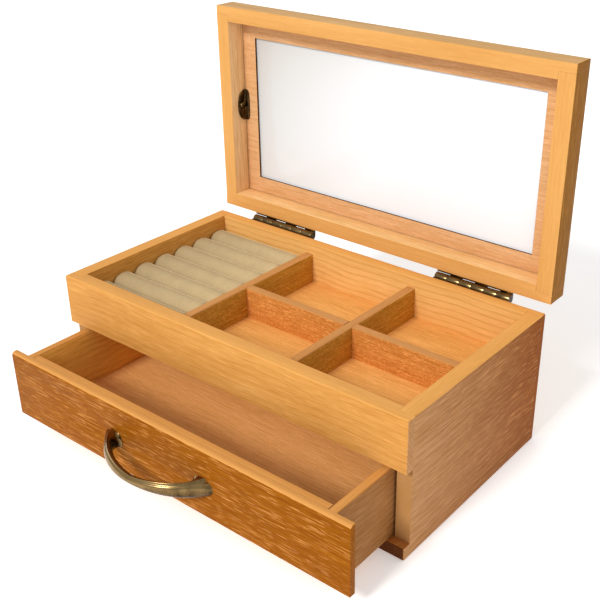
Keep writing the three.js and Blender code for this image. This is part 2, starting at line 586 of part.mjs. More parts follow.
const jewelryBox = new THREE.Group();
buildCase(jewelryBox);
buildTray(jewelryBox);
buildRingSection(jewelryBox);
buildDrawer(jewelryBox);

const lid = new THREE.Group();
lid.position.set(0, PIVOT_Y, PIVOT_Z);
lid.rotation.x = -Math.PI / 2;
buildLid(lid);
buildHinge(jewelryBox, lid, 'left', HINGE_CENTRES[0]);
buildHinge(jewelryBox, lid, 'right', HINGE_CENTRES[1]);
jewelryBox.add(lid);

export default jewelryBox;
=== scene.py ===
"""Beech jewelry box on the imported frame: boards, velvet ring rolls, a bow pull, hinges and a mirror lid."""

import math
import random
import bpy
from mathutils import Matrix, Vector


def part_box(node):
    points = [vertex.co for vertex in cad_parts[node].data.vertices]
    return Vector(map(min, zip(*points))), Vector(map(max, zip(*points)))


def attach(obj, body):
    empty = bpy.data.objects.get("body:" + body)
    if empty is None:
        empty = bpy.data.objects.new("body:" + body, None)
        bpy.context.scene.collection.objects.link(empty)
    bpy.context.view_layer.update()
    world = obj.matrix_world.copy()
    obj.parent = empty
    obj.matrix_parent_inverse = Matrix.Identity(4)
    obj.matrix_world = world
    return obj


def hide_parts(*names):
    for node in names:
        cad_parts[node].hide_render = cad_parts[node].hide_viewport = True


bl_info = {
    "name": "Beech Jewelry Box",
    "version": (1, 0, 0),
    "blender": (4, 5, 0),
    "location": "3D View > Sidebar > Jewelry Box",
    "description": "Builds a beech jewelry box with a divided tray, ring rolls, a drawer and a mirror lid",
    "category": "Add Mesh",
}

import bpy
from mathutils import Euler, Matrix, Vector

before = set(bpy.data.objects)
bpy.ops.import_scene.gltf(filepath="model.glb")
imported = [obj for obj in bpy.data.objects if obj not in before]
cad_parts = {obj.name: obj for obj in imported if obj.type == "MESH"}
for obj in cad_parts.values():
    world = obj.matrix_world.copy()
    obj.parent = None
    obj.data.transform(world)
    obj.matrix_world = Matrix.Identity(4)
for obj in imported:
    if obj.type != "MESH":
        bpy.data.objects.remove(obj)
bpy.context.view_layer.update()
MM = 0.001


# ---------------------------------------------------------------- sizes and colours


class JewelryBoxSizes(bpy.types.PropertyGroup):
    outer_easing: bpy.props.FloatProperty(
        name="Outer easing", description="Rounding of the box's outer edges, as sanded",
        default=0.9 * MM, min=0, unit="LENGTH", subtype="DISTANCE")
    inner_easing: bpy.props.FloatProperty(
        name="Inner easing", description="Rounding of the rims' inner edges and the dividers' tops",
        default=0.6 * MM, min=0, unit="LENGTH", subtype="DISTANCE")
    joint_easing: bpy.props.FloatProperty(
        name="Joint easing", description="Rounding where two boards meet",
        default=0.06 * MM, min=0, unit="LENGTH", subtype="DISTANCE")
    metal_easing: bpy.props.FloatProperty(
        name="Metal easing", description="Rounding of the hinge leaves' and clips' edges",
        default=0.18 * MM, min=0, unit="LENGTH", subtype="DISTANCE")
    roll_travel: bpy.props.FloatProperty(
        name="Roll stuffing", description="How far the stuffing may push a roll's velvet out",
        default=0.8 * MM, min=0, unit="LENGTH", subtype="DISTANCE")
    roll_voxel: bpy.props.FloatProperty(
        name="Roll mesh", description="Size of a roll's mesh before the stuffing is simulated",
        default=1.7 * MM, min=0.5 * MM, unit="LENGTH", subtype="DISTANCE")


def colour(name, description, default):
    """A colour property, as an sRGB hex string."""
    text = description + ", as an sRGB hex colour"
    return bpy.props.StringProperty(name=name, description=text, default=default)


class JewelryBoxColours(bpy.types.PropertyGroup):
    rim: colour("Rims", "Sanded golden rims of the case", "#E3A458")
    lid_rim: colour("Lid rim", "Sanded golden rim of the lid", "#D79E59")
    rail: colour("Front rail", "Face of the case's front rail", "#D1944C")
    back: colour("Back wall", "Inner face of the back wall and of the rail", "#E5AF67")
    side: colour("Sides", "Case's side panels towards the rear", "#8E4B0B")
    # Painted reflection: the front of the sides is a pale pinkish tone with faded flecks, for the sheen of
    # light on it, running into the side colour at the rear.
    side_front: colour("Sides at the front", "Case's side panels towards the front, with few flecks",
                       "#BD8A5A40")
    # Partly painted shade: the sides' front edges are coloured darker, between their lit and shaded tones.
    end_grain: colour("Panel edges", "Front edges of the side panels", "#B28350")
    inside: colour("Inner walls", "Inner faces of the sides", "#D19649")
    base: colour("Base", "Base panel's top and sides", "#B87438")
    # Painted shadow: the base's front edge is coloured dark brown for the shade under the drawer.
    base_edge: colour("Base edge", "Base panel's stained front edge", "#5A2E12")
    drawer_front: colour("Drawer front", "Face of the drawer", "#91520A")
    drawer_rim: colour("Drawer rims", "Sanded upper edges of the drawer", "#D2934E")
    drawer_side: colour("Drawer sides", "Faces of the drawer's sides", "#A27041")
    # Painted light: the inner face of the drawer's left side is coloured much paler than the other drawer
    # sides, to lift the shade that falls on it.
    drawer_inside: colour("Drawer inside", "Inner face of the drawer's left side", "#FFC35F")
    # Partly painted light: the drawer floor is coloured paler to lift the shade that the front rail casts on
    # it.
    drawer_floor: colour("Drawer floor", "Thin bottom of the drawer", "#F8B86E")
    divider: colour("Dividers", "Faces of the dividers that run from front to back", "#BF8E36")
    # Partly painted light: the cross divider's face is coloured more orange than the other dividers, for
    # light bounced off the wood round it.
    divider_cross: colour("Cross divider", "Face of the cross divider", "#CB833E")
    divider_rim: colour("Divider tops", "Sanded tops of the dividers", "#C98D52")
    tray_floor: colour("Tray floor", "Thin floor of the tray", "#EAAA5D")
    surround: colour("Surround", "Mirror's plywood surround", "#D4A271")
    # Painted shade: the edges of the surround's opening are coloured dark brown for the shadow line round the
    # mirror.
    cut_edge: colour("Cut edge", "Scorched edge of the surround's opening", "#4C2A14")
    lid_inside: colour("Lid walls", "Inner walls of the lid", "#EEC68F")
    lid_ledge: colour("Lid ledge", "Upper face of the open lid's lowest rail", "#F0C083")
    lid_side: colour("Lid sides", "Outer ends of the lid", "#936123")
    lid_top: colour("Lid end", "Upper edge of the open lid", "#CEA26B")
    velvet: colour("Velvet", "Ring rolls' velvet", "#B49D75")
    # Painted light and shade: besides the real patina and wear, the dark colour also goes on faces turned
    # down and back, and the worn colour on faces turned up and to the front.
    brass_patina_and_shade: colour("Brass patina", "Darkened brass in the hollows", "#2C1E0D")
    brass_worn_and_lit: colour("Brass worn", "Brass where the patina is rubbed thin", "#9C8054")
    # Painted reflection: the mirror's colour is the bright white of the studio it reflects.
    glass: colour("Mirror", "Mirror's bright silvering", "#F3F7FB")
    floor: colour("Floor", "Studio floor", "#FFFFFF")


# ---------------------------------------------------------------- materials


def linear(hex_colour):
    """An sRGB hex colour as linear RGBA. A fourth pair of digits is its alpha."""
    values = [int(hex_colour[i:i + 2], 16) / 255 for i in (1, 3, 5)]
    alpha = int(hex_colour[7:9] or "FF", 16) / 255
    return (*[v / 12.92 if v <= 0.04045 else ((v + 0.055) / 1.055) ** 2.4 for v in values], alpha)


def add(tree, kind, settings=None, links=None):
    """Adds a node. settings are its own properties. links are its inputs, each a value or a socket."""
    node = tree.nodes.new(kind)
    for key, value in (settings or {}).items():
        setattr(node, key, value)
    for key, value in (links or {}).items():
        if isinstance(value, bpy.types.NodeSocket):
            tree.links.new(value, node.inputs[key])
        else:
            node.inputs[key].default_value = value
    return node


def new_material(name):
    """An empty node material and its Principled shader."""
    material = bpy.data.materials.new(name)
    material.use_nodes = True
    tree = material.node_tree
    tree.nodes.clear()
    shader = add(tree, "ShaderNodeBsdfPrincipled")
    add(tree, "ShaderNodeOutputMaterial", None, {"Surface": shader.outputs[0]})
    return material, tree, shader


def beech(name, flecks, fleck_size, cover, figure, lines, fibres, roughness):
    """Planed beech under a thin satin lacquer: soft growth figure, fine fibres and short light ray flecks.

    The grain attribute holds metres along, across and through the board. The stain attribute holds
    its colour, painted light and shade on some faces, and, in its alpha, how strongly its flecks show.
    """
    material, tree, shader = new_material(name)
    grain = add(tree, "ShaderNodeAttribute", {"attribute_name": "grain"}).outputs["Vector"]
    stain_and_painted_light_read = add(tree, "ShaderNodeAttribute", {"attribute_name": "stain"})
    stain = stain_and_painted_light_read.outputs["Color"]
    # The grain wanders a few millimetres over a hand's length.
    wander = add(tree, "ShaderNodeTexNoise", None, {"Vector": grain, "Scale": 11.0, "Detail": 2.0})
    drift = add(tree, "ShaderNodeVectorMath", {"operation": "MULTIPLY_ADD"},
                {0: wander.outputs["Color"], 1: (0.0, 0.005, 0.005), 2: grain}).outputs[0]
    # Growth figure: soft bands 5 to 12 mm wide and a hundred millimetres long.
    band_space = add(tree, "ShaderNodeMapping", None, {"Vector": drift, "Scale": (9.0, 110.0, 70.0)})
    bands = add(tree, "ShaderNodeTexNoise", None,
                {"Vector": band_space.outputs[0], "Scale": 1.0, "Detail": 4.0, "Roughness": 0.6})
    band_tone = add(tree, "ShaderNodeMapRange", None,
                    {"Value": bands.outputs[0], "From Min": 0.3, "From Max": 0.7,
                     "To Min": 1 - figure, "To Max": 1 + figure})
    # Growth lines: thin darker lines about 3 mm apart that follow the figure.
    ring_place = add(tree, "ShaderNodeVectorMath", {"operation": "DOT_PRODUCT"},
                     {0: drift, 1: (0.0, 2100.0, 1300.0)}).outputs["Value"]
    ring_bend = add(tree, "ShaderNodeMath", {"operation": "MULTIPLY_ADD"},
                    {0: bands.outputs[0], 1: 3.5, 2: ring_place})
    rings = add(tree, "ShaderNodeMath", {"operation": "SINE"}, {0: ring_bend.outputs[0]})
    ring_tone = add(tree, "ShaderNodeMapRange", None,
                    {"Value": rings.outputs[0], "From Min": 0.35, "From Max": 1.0,
                     "To Min": 1.0, "To Max": 1 - lines})
    # Fibres: real ones are about 0.1 mm across, drawn at 0.8 mm so that they show.
    fibre_space = add(tree, "ShaderNodeMapping", None, {"Vector": drift, "Scale": (55.0, 1250.0, 1250.0)})
    fibre = add(tree, "ShaderNodeTexNoise", None,
                {"Vector": fibre_space.outputs[0], "Scale": 1.0, "Detail": 3.0, "Roughness": 0.7})
    fibre_tone = add(tree, "ShaderNodeMapRange", None,
                     {"Value": fibre.outputs[0], "From Min": 0.3, "From Max": 0.7,
                      "To Min": 1 - fibres, "To Max": 1 + fibres})
    # Ray flecks: short light spindles, thinned out a little in patches.
    length, width = fleck_size
    fleck_space = add(tree, "ShaderNodeMapping", None,
                      {"Vector": drift, "Location": (3.1, 7.7, 1.3),
                       "Scale": (1 / length, 1 / width, 1 / width)})
    fleck = add(tree, "ShaderNodeTexNoise", None,
                {"Vector": fleck_space.outputs[0], "Scale": 1.0, "Detail": 1.0, "Roughness": 0.5})
    patches = add(tree, "ShaderNodeTexNoise", None, {"Vector": drift, "Scale": 30.0, "Detail": 2.0})
    fleck_edge = add(tree, "ShaderNodeMath", {"operation": "MULTIPLY_ADD"},
                     {0: patches.outputs[0], 1: 0.06, 2: fleck.outputs[0]})
    fleck_mask = add(tree, "ShaderNodeMapRange", {"interpolation_type": "SMOOTHSTEP"},
                     {"Value": fleck_edge.outputs[0], "From Min": 0.68 - cover, "From Max": 0.77 - cover,
                      "To Min": 0.0, "To Max": flecks})
    shown = add(tree, "ShaderNodeMath", {"operation": "MULTIPLY"},
                {0: fleck_mask.outputs[0], 1: stain_and_painted_light_read.outputs["Alpha"]})
    lined = add(tree, "ShaderNodeMath", {"operation": "MULTIPLY"},
                {0: band_tone.outputs[0], 1: ring_tone.outputs[0]})
    toned = add(tree, "ShaderNodeMath", {"operation": "MULTIPLY"},
                {0: lined.outputs[0], 1: fibre_tone.outputs[0]})
    # Late wood is darker and also redder: green falls faster than red does, and blue faster still.
    green = add(tree, "ShaderNodeMath", {"operation": "POWER"}, {0: toned.outputs[0], 1: 1.5})
    blue = add(tree, "ShaderNodeMath", {"operation": "POWER"}, {0: toned.outputs[0], 1: 2.6})
    cast = add(tree, "ShaderNodeCombineXYZ", None,
               {0: toned.outputs[0], 1: green.outputs[0], 2: blue.outputs[0]})
    wood = add(tree, "ShaderNodeVectorMath", {"operation": "MULTIPLY"}, {0: stain, 1: cast.outputs[0]})
    pale = add(tree, "ShaderNodeMix", {"data_type": "RGBA", "blend_type": "ADD"},
               {0: shown.outputs[0], 6: wood.outputs[0], 7: linear("#9C7648")})
    tree.links.new(pale.outputs[2], shader.inputs["Base Color"])
    rough = add(tree, "ShaderNodeMapRange", None,
                {"Value": fibre.outputs[0], "To Min": roughness - 0.08, "To Max": roughness + 0.1})
    tree.links.new(rough.outputs[0], shader.inputs["Roughness"])
    height = add(tree, "ShaderNodeMath", {"operation": "MULTIPLY_ADD"},
                 {0: shown.outputs[0], 1: -0.6, 2: fibre.outputs[0]})
    bump = add(tree, "ShaderNodeBump", None,
               {"Strength": 0.3, "Distance": 0.00012, "Height": height.outputs[0]})
    tree.links.new(bump.outputs[0], shader.inputs["Normal"])
    shader.inputs["IOR"].default_value = 1.5
    shader.inputs["Specular IOR Level"].default_value = 0.03
    return material


def velvet(name, colour):
    """Woven cotton velvet: a short upright pile that is dark face on and pale where it leans away."""
    material, tree, shader = new_material(name)
    coordinates = add(tree, "ShaderNodeTexCoord")
    place = coordinates.outputs["Object"]
    crushed = add(tree, "ShaderNodeTexNoise", None, {"Vector": place, "Scale": 90.0, "Detail": 2.0})
    # The pile is about 0.1 mm thick thread, drawn at 0.8 mm so that it shows.
    pile = add(tree, "ShaderNodeTexNoise", None, {"Vector": place, "Scale": 1300.0, "Detail": 2.0})
    share = add(tree, "ShaderNodeMath", {"operation": "MULTIPLY"}, {0: crushed.outputs[0], 1: 0.35})
    both = add(tree, "ShaderNodeMath", {"operation": "MULTIPLY_ADD"},
               {0: pile.outputs[0], 1: 0.7, 2: share.outputs[0]})
    tone = add(tree, "ShaderNodeMapRange", None,
               {"Value": both.outputs[0], "From Min": 0.3, "From Max": 0.75, "To Min": 0.86, "To Max": 1.14})
    # Painted light and shade: faces turned to the front and up, towards the light, are coloured lighter and
    # faces turned back darker. The colour is also darker at the left end of a roll and lighter towards the
    # divider.
    light_facing = add(tree, "ShaderNodeVectorMath", {"operation": "DOT_PRODUCT"},
                  {0: coordinates.outputs["Normal"], 1: (0.0, -0.75, 0.66)}).outputs["Value"]
    painted_light_shade = add(tree, "ShaderNodeMapRange", None,
                {"Value": light_facing, "From Min": -0.2, "From Max": 0.9, "To Min": 0.82, "To Max": 1.08})
    parts = add(tree, "ShaderNodeSeparateXYZ", None, {0: place})
    along_x = add(tree, "ShaderNodeMapRange", None,
                  {"Value": parts.outputs["X"], "From Min": -0.139, "From Max": -0.052,
                   "To Min": 0.86, "To Max": 1.12})
    # depth is the painted light and shade times the change along X.
    depth = add(tree, "ShaderNodeMath", {"operation": "MULTIPLY"},
                {0: painted_light_shade.outputs[0], 1: along_x.outputs[0]})
    shade = add(tree, "ShaderNodeMath", {"operation": "MULTIPLY"},
                {0: depth.outputs[0], 1: tone.outputs[0]})
    body = add(tree, "ShaderNodeVectorMath", {"operation": "SCALE"},
               {0: linear(colour)[:3], "Scale": shade.outputs[0]})
    tree.links.new(body.outputs[0], shader.inputs["Base Color"])
    bump = add(tree, "ShaderNodeBump", None,
               {"Strength": 0.5, "Distance": 0.0002, "Height": both.outputs[0]})
    tree.links.new(bump.outputs[0], shader.inputs["Normal"])
    shader.inputs["Roughness"].default_value = 0.95
    shader.inputs["Specular IOR Level"].default_value = 0.15
    shader.inputs["Sheen Weight"].default_value = 1.0
    shader.inputs["Sheen Roughness"].default_value = 0.3
    shader.inputs["Sheen Tint"].default_value = linear("#EBD6AC")
    return material


def antique_brass(name, dark, worn, facing_light_strength):
    """Brass, blackened and relieved: brown in the hollows, brighter where the rubbing of hands or a buff wore
    it back.

    facing_light_strength is how much painted light brightens the upper front and painted shade darkens the
    lower back.
    """
    material, tree, shader = new_material(name)
    coordinates = add(tree, "ShaderNodeTexCoord")
    place = coordinates.outputs["Object"]
    cloud = add(tree, "ShaderNodeTexNoise", None,
                {"Vector": place, "Scale": 150.0, "Detail": 5.0, "Roughness": 0.6})
    brushed_space = add(tree, "ShaderNodeMapping", None, {"Vector": place, "Scale": (150.0, 1500.0, 1500.0)})
    along_x = add(tree, "ShaderNodeTexNoise", None,
                  {"Vector": brushed_space.outputs[0], "Scale": 1.0, "Detail": 2.0})
    wear = add(tree, "ShaderNodeMath", {"operation": "MULTIPLY_ADD"},
               {0: along_x.outputs[0], 1: 0.5, 2: cloud.outputs[0]})
    # Painted light and shade: faces turned up and to the front take more of the worn colour, faces turned
    # down and back more of the dark one.
    painted_facing_light = add(tree, "ShaderNodeVectorMath", {"operation": "DOT_PRODUCT"},
                 {0: coordinates.outputs["Normal"], 1: (-0.1 * facing_light_strength, -0.6 * facing_light_strength, 0.7 * facing_light_strength)}).outputs["Value"]
    wear_and_facing_light = add(tree, "ShaderNodeMath", {"operation": "ADD"}, {0: wear.outputs[0], 1: painted_facing_light})
    mask = add(tree, "ShaderNodeMapRange", None,
               {"Value": wear_and_facing_light.outputs[0], "From Min": 0.70, "From Max": 1.40})
    colour = add(tree, "ShaderNodeMix", {"data_type": "RGBA"},
                 {0: mask.outputs[0], 6: linear(dark), 7: linear(worn)})
    tree.links.new(colour.outputs[2], shader.inputs["Base Color"])
    rough = add(tree, "ShaderNodeMapRange", None,
                {"Value": wear.outputs[0], "From Min": 0.4, "From Max": 1.1, "To Min": 0.30, "To Max": 0.18})
    tree.links.new(rough.outputs[0], shader.inputs["Roughness"])
    bump = add(tree, "ShaderNodeBump", None,
               {"Strength": 0.2, "Distance": 0.00006, "Height": wear.outputs[0]})
    tree.links.new(bump.outputs[0], shader.inputs["Normal"])
    shader.inputs["Metallic"].default_value = 1.0
    return material


def zinc_steel(name):
    """Zinc-plated screw steel: bright, bluish and finely clouded."""
    material, tree, shader = new_material(name)
    place = add(tree, "ShaderNodeTexCoord").outputs["Object"]
    cloud = add(tree, "ShaderNodeTexNoise", None, {"Vector": place, "Scale": 600.0, "Detail": 3.0})
    colour = add(tree, "ShaderNodeMix", {"data_type": "RGBA"},
                 {0: cloud.outputs[0], 6: linear("#A9ABAC"), 7: linear("#D6D5CF")})
    tree.links.new(colour.outputs[2], shader.inputs["Base Color"])
    shader.inputs["Metallic"].default_value = 1.0
    shader.inputs["Roughness"].default_value = 0.3
    return material


def mirror_glass(name, colour):
    """Float glass over bright silvering, drawn as a painted reflection: an even white for the studio it
    mirrors, greying towards one top corner.
    """
    material, tree, shader = new_material(name)
    place = add(tree, "ShaderNodeTexCoord").outputs["Object"]
    parts = add(tree, "ShaderNodeSeparateXYZ", None, {0: place})
    slope = add(tree, "ShaderNodeMath", {"operation": "MULTIPLY_ADD"},
                {0: parts.outputs["X"], 1: -1.0, 2: parts.outputs["Z"]})
    shade = add(tree, "ShaderNodeMapRange", None,
                {"Value": slope.outputs[0], "From Min": 0.17, "From Max": 0.36})
    # Painted reflection: the white greys towards one top corner.
    painted_reflection = add(tree, "ShaderNodeMix", {"data_type": "RGBA"},
               {0: shade.outputs[0], 6: linear(colour), 7: linear("#C2C0BB")})
    tree.links.new(painted_reflection.outputs[2], shader.inputs["Base Color"])
    ripple = add(tree, "ShaderNodeTexNoise", None, {"Vector": place, "Scale": 30.0})
    rough = add(tree, "ShaderNodeMapRange", None,
                {"Value": ripple.outputs[0], "To Min": 0.04, "To Max": 0.08})
    tree.links.new(rough.outputs[0], shader.inputs["Roughness"])
    shader.inputs["Specular IOR Level"].default_value = 0.2
    return material


def hardboard(name):
    """Pressed wood fibre: brown and matted."""
    material, tree, shader = new_material(name)
    place = add(tree, "ShaderNodeTexCoord").outputs["Object"]
    mat = add(tree, "ShaderNodeTexNoise", None, {"Vector": place, "Scale": 900.0, "Detail": 5.0})
    colour = add(tree, "ShaderNodeMix", {"data_type": "RGBA"},
                 {0: mat.outputs[0], 6: linear("#5E4B35"), 7: linear("#947A58")})
    tree.links.new(colour.outputs[2], shader.inputs["Base Color"])
    bump = add(tree, "ShaderNodeBump", None,
               {"Strength": 0.4, "Distance": 0.0001, "Height": mat.outputs[0]})
    tree.links.new(bump.outputs[0], shader.inputs["Normal"])
    shader.inputs["Roughness"].default_value = 0.85
    return material


def seamless_paper(name, colour):
    """Matt studio paper on a light table, so that shadows on it stay pale: plain, with a faint tooth."""
    material, tree, shader = new_material(name)
    place = add(tree, "ShaderNodeTexCoord").outputs["Object"]
    tooth = add(tree, "ShaderNodeTexNoise", None, {"Vector": place, "Scale": 900.0, "Detail": 2.0})
    bump = add(tree, "ShaderNodeBump", None,
               {"Strength": 0.1, "Distance": 0.0001, "Height": tooth.outputs[0]})
    tree.links.new(bump.outputs[0], shader.inputs["Normal"])
    shader.inputs["Base Color"].default_value = linear(colour)
    shader.inputs["Emission Color"].default_value = linear(colour)
    shader.inputs["Emission Strength"].default_value = 0.3
    shader.inputs["Roughness"].default_value = 0.9
    shader.inputs["Specular IOR Level"].default_value = 0.1
    return material


EDGE = "beech_edge_sanded_lacquered"
RAIL = "beech_rail_planed_lacquered"
BACK = "beech_back_planed_lacquered"
BOARD = "beech_board_flecked_lacquered"
QUIET = "beech_board_quiet_lacquered"
DIVIDER = "beech_divider_flecked"
PLY = "beech_plywood_fine"

WOODS = {
    # name: flecks, (fleck length, width), cover, figure, growth lines, fibres, roughness
    EDGE: (0.10, (8 * MM, 1.0 * MM), 0.05, 0.05, 0.03, 0.04, 0.40),
    RAIL: (0.16, (12 * MM, 0.9 * MM), 0.07, 0.08, 0.06, 0.12, 0.42),
    BACK: (0.15, (14 * MM, 0.9 * MM), 0.06, 0.06, 0.12, 0.08, 0.42),
    BOARD: (0.72, (13 * MM, 0.62 * MM), 0.07, 0.07, 0.08, 0.22, 0.45),
    QUIET: (0.32, (11 * MM, 0.65 * MM), 0.07, 0.08, 0.08, 0.18, 0.45),
    DIVIDER: (0.60, (2.2 * MM, 0.6 * MM), 0.10, 0.05, 0.04, 0.24, 0.5),
    PLY: (0.25, (2.6 * MM, 0.7 * MM), 0.08, 0.05, 0.04, 0.14, 0.5),
}


def finish_material(name):
    """The material of that name, made the first time it is asked for."""
    if name in bpy.data.materials:
        return bpy.data.materials[name]
    colours = bpy.context.scene.jewelry_box_colours
    if name in WOODS:
        return beech(name, *WOODS[name])
    if name == "cotton_velvet":
        return velvet(name, colours.velvet)
    # The last number is the strength of the painted light and shade on the brass.
    if name == "brass_cast_relieved":
        return antique_brass(name, colours.brass_patina_and_shade, colours.brass_worn_and_lit, 0.75)
    if name == "brass_sheet_darkened":
        return antique_brass(name, colours.brass_patina_and_shade, colours.brass_worn_and_lit, 0.4)
    if name == "steel_zinc_plated":
        return zinc_steel(name)
    if name == "glass_silvered":
        return mirror_glass(name, colours.glass)
    if name == "hardboard_bare":
        return hardboard(name)
    return seamless_paper(name, colours.floor)


# ---------------------------------------------------------------- making and shaping pieces


def only(piece):
    """Deselects everything, then selects this piece and makes it active."""
    bpy.ops.object.select_all(action="DESELECT")
    piece.select_set(True)
    bpy.context.view_layer.objects.active = piece


def copy_of(node, name):
    """A new piece with a CAD node's shape, its triangles merged back to flat faces."""
    piece = bpy.data.objects.new(name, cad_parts[node].data.copy())
    piece.data.name = name
    piece.data.materials.clear()
    bpy.context.scene.collection.objects.link(piece)
    only(piece)
    bpy.ops.object.mode_set(mode="EDIT")
    bpy.ops.mesh.select_all(action="SELECT")
    bpy.ops.mesh.remove_doubles(threshold=0.5e-5)
    bpy.ops.mesh.dissolve_limited(angle_limit=math.radians(0.5), delimit=set())
    bpy.ops.object.mode_set(mode="OBJECT")
    return piece


def on_planes(points, planes):
    """How many of the planes, given as (axis, millimetres), hold all the points."""
    return sum(all(abs(p[axis] / MM - place) < 0.06 for p in points) for axis, place in planes)


SHARP_ANGLE = math.radians(35)
SHADING_ANGLE = math.radians(32)


def ease_edges(piece, width_of, segments=3):
    """Rounds each sharp edge by width_of(its two ends)."""
    mesh = piece.data
    widths = [0.0] * len(mesh.edges)
    faces_at = {}
    for face in mesh.polygons:
        for key in face.edge_keys:
            faces_at.setdefault(key, []).append(face.normal)
    for edge in mesh.edges:
        normals = faces_at.get(tuple(sorted(edge.vertices)), [])
        if len(normals) == 2 and normals[0].angle(normals[1], 0) > SHARP_ANGLE:
            widths[edge.index] = width_of([mesh.vertices[i].co for i in edge.vertices])
    widest = max(widths) or MM
    weights = mesh.attributes.new("bevel_weight_edge", "FLOAT", "EDGE")
    weights.data.foreach_set("value", [w / widest for w in widths])
    bevel = piece.modifiers.new("easing", "BEVEL")
    bevel.limit_method = "WEIGHT"
    bevel.width = widest
    bevel.segments = segments
    bevel.use_clamp_overlap = True
    only(piece)
    bpy.ops.object.modifier_apply(modifier=bevel.name)
    bpy.ops.object.shade_smooth_by_angle(angle=SHADING_ANGLE)


def stain_and_painted_light_at(names, place, mesh):
    """The colour at a point: mostly stains, on some faces painted light and shade. One name is plain, and two
    run from the board's low Y end to its high Y end.
    """
    colours = bpy.context.scene.jewelry_box_colours
    if isinstance(names, str):
        return linear(getattr(colours, names))
    low, high = (linear(getattr(colours, name)) for name in names)
    depths = [v.co.y for v in mesh.vertices]
    share = (place.y - min(depths)) / (max(depths) - min(depths))
    return tuple(a + (b - a) * share for a, b in zip(low, high))


def paint_wood(piece, along, seed, wood, stain, rims=()):
    """Gives a board its grain direction, finish and colour, which on some faces is painted light and shade.
    rims are (axis, sign, finish, colour) of faces.
    """
    mesh = piece.data
    shuffle = random.Random(seed)
    start = Vector([shuffle.uniform(-4, 4) for _ in range(3)])
    order = {"X": (0, 1, 2), "Y": (1, 0, 2), "Z": (2, 0, 1)}[along]
    grain = mesh.attributes.new("grain", "FLOAT_VECTOR", "POINT")
    places = [c for v in mesh.vertices for c in (Vector([v.co[i] for i in order]) + start)]
    grain.data.foreach_set("vector", places)
    finishes = list(dict.fromkeys([wood] + [rim[2] for rim in rims]))
    for name in finishes:
        mesh.materials.append(finish_material(name))
    tint = mesh.attributes.new("stain", "FLOAT_COLOR", "CORNER")
    values, slots = [], []
    for face in mesh.polygons:
        name, hue = wood, stain
        for axis, sign, rim_name, rim_stain_and_painted_light in rims:
            if face.normal[axis] * sign > 0.5:
                name, hue = rim_name, rim_stain_and_painted_light
        slots.append(finishes.index(name))
        for i in face.vertices:
            values.extend(stain_and_painted_light_at(hue, mesh.vertices[i].co, mesh))
    tint.data.foreach_set("color", values)
    mesh.polygons.foreach_set("material_index", slots)


def settle(piece, body, slot, *nodes):
    """The finished piece rides on its body and stands for its CAD nodes, which it hides. slot is not used."""
    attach(piece, body)
    if nodes:
        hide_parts(*nodes)
    return piece


def split(piece, planes):
    """Cuts edges, but not the piece, where it crosses each (axis, millimetres) plane."""
    only(piece)
    for axis, place in planes:
        point, normal = Vector(), Vector()
        point[axis], normal[axis] = place * MM, 1
        bpy.ops.object.mode_set(mode="EDIT")
        bpy.ops.mesh.select_all(action="SELECT")
        bpy.ops.mesh.bisect(plane_co=point, plane_no=normal)
        bpy.ops.object.mode_set(mode="OBJECT")


def board(node, body, along, wood, stain, outer=(), opening=(), rims=(), slot="beech"):
    """An eased board in place of a CAD board.

    outer are the planes whose meeting edges are well rounded. opening are the four planes (axis, low), (axis,
    high), ... round the hole that the board helps to frame, whose edges are rounded less.
    """
    sizes = bpy.context.scene.jewelry_box_sizes

    def in_opening(ends):
        middle = (ends[0] + ends[1]) / 2 / MM
        return all((middle[axis] - place) * side < 0.1
                   for (axis, place), side in zip(opening, (-1, 1, -1, 1)))

    def width(ends):
        on_outer = on_planes(ends, outer)
        if on_outer >= 2:
            return sizes.outer_easing
        if on_outer and on_planes(ends, opening) and in_opening(ends):
            return sizes.inner_easing
        return sizes.joint_easing

    piece = copy_of(node, node.replace("_panel", "") + "_board")
    if opening:
        split(piece, opening[2:])
    ease_edges(piece, width)
    seed = sum(ord(c) * (i + 1) for i, c in enumerate(node))
    paint_wood(piece, along, seed, wood, stain, rims)
    return settle(piece, body, slot, node)


def metal(node, body, material, slot="antique_brass", easing=None):
    """An eased metal piece in place of a CAD one."""
    sizes = bpy.context.scene.jewelry_box_sizes
    piece = copy_of(node, node + "_metal")
    ease_edges(piece, lambda ends: easing or sizes.metal_easing, 2)
    piece.data.materials.append(finish_material(material))
    return settle(piece, body, slot, node)


def top_of(node, along):
    """The top and the two broad faces of a thin upright CAD board, as (axis, millimetres)."""
    low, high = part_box(node)
    across = 0 if along == "Y" else 1
    return [(2, high.z / MM), (across, low[across] / MM), (across, high[across] / MM)]


def faces_of(node):
    """The six outer planes of a CAD node, as (axis, millimetres)."""
    low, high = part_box(node)
    return [(i, low[i] / MM) for i in range(3)] + [(i, high[i] / MM) for i in range(3)]


# ---------------------------------------------------------------- the pieces


